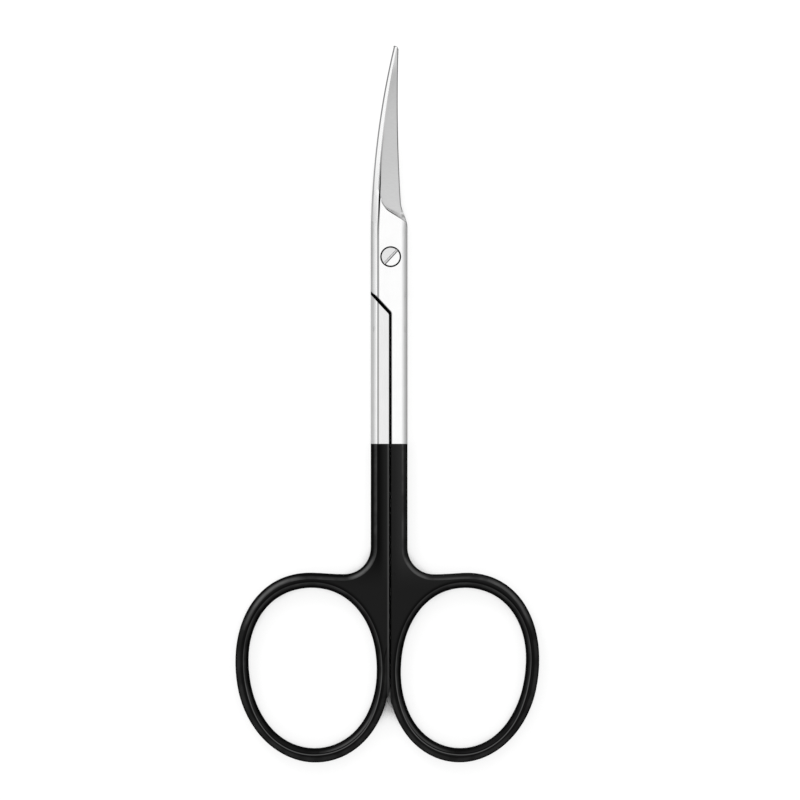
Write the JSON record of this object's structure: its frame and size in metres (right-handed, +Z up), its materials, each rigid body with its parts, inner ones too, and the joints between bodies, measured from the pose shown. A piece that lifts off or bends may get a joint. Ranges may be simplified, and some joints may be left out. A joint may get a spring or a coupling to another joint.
{
  "type": "curved iris scissors",
  "caption": "Fine-pointed iris scissors with blades curved upwards, a slotted pivot screw, slim shanks and black oval finger rings, lying closed.",
  "frame": {"origin": "where the pivot axis crosses the flat underside that the closed scissors rest on", "axes": "+Y along the shanks to the blade tips, +X towards the ring of the upper half, +Z up along the pivot axis, away from the table and towards the way the blades curve"},
  "size_m": [0.0488, 0.115, 0.0082],
  "materials": {
    "upper_half_steel": "fine satin steel, with a satin black coat on the shank and ring",
    "lower_half_steel": "fine satin steel, with a satin black coat on the shank and ring",
    "screw_steel": "turned steel"
  },
  "bodies": {
    "lower": {"lower_half": "lower_half_steel", "pivot_screw": "screw_steel"},
    "upper": {"upper_half": "upper_half_steel"}
  },
  "joints": [
    {"name": "blade_pivot", "type": "hinge", "parent": "lower", "child": "upper", "pos_m": [0, 0, 0.00155], "axis": [0, 0, 1], "range_deg": [0, 90]}
  ]
}
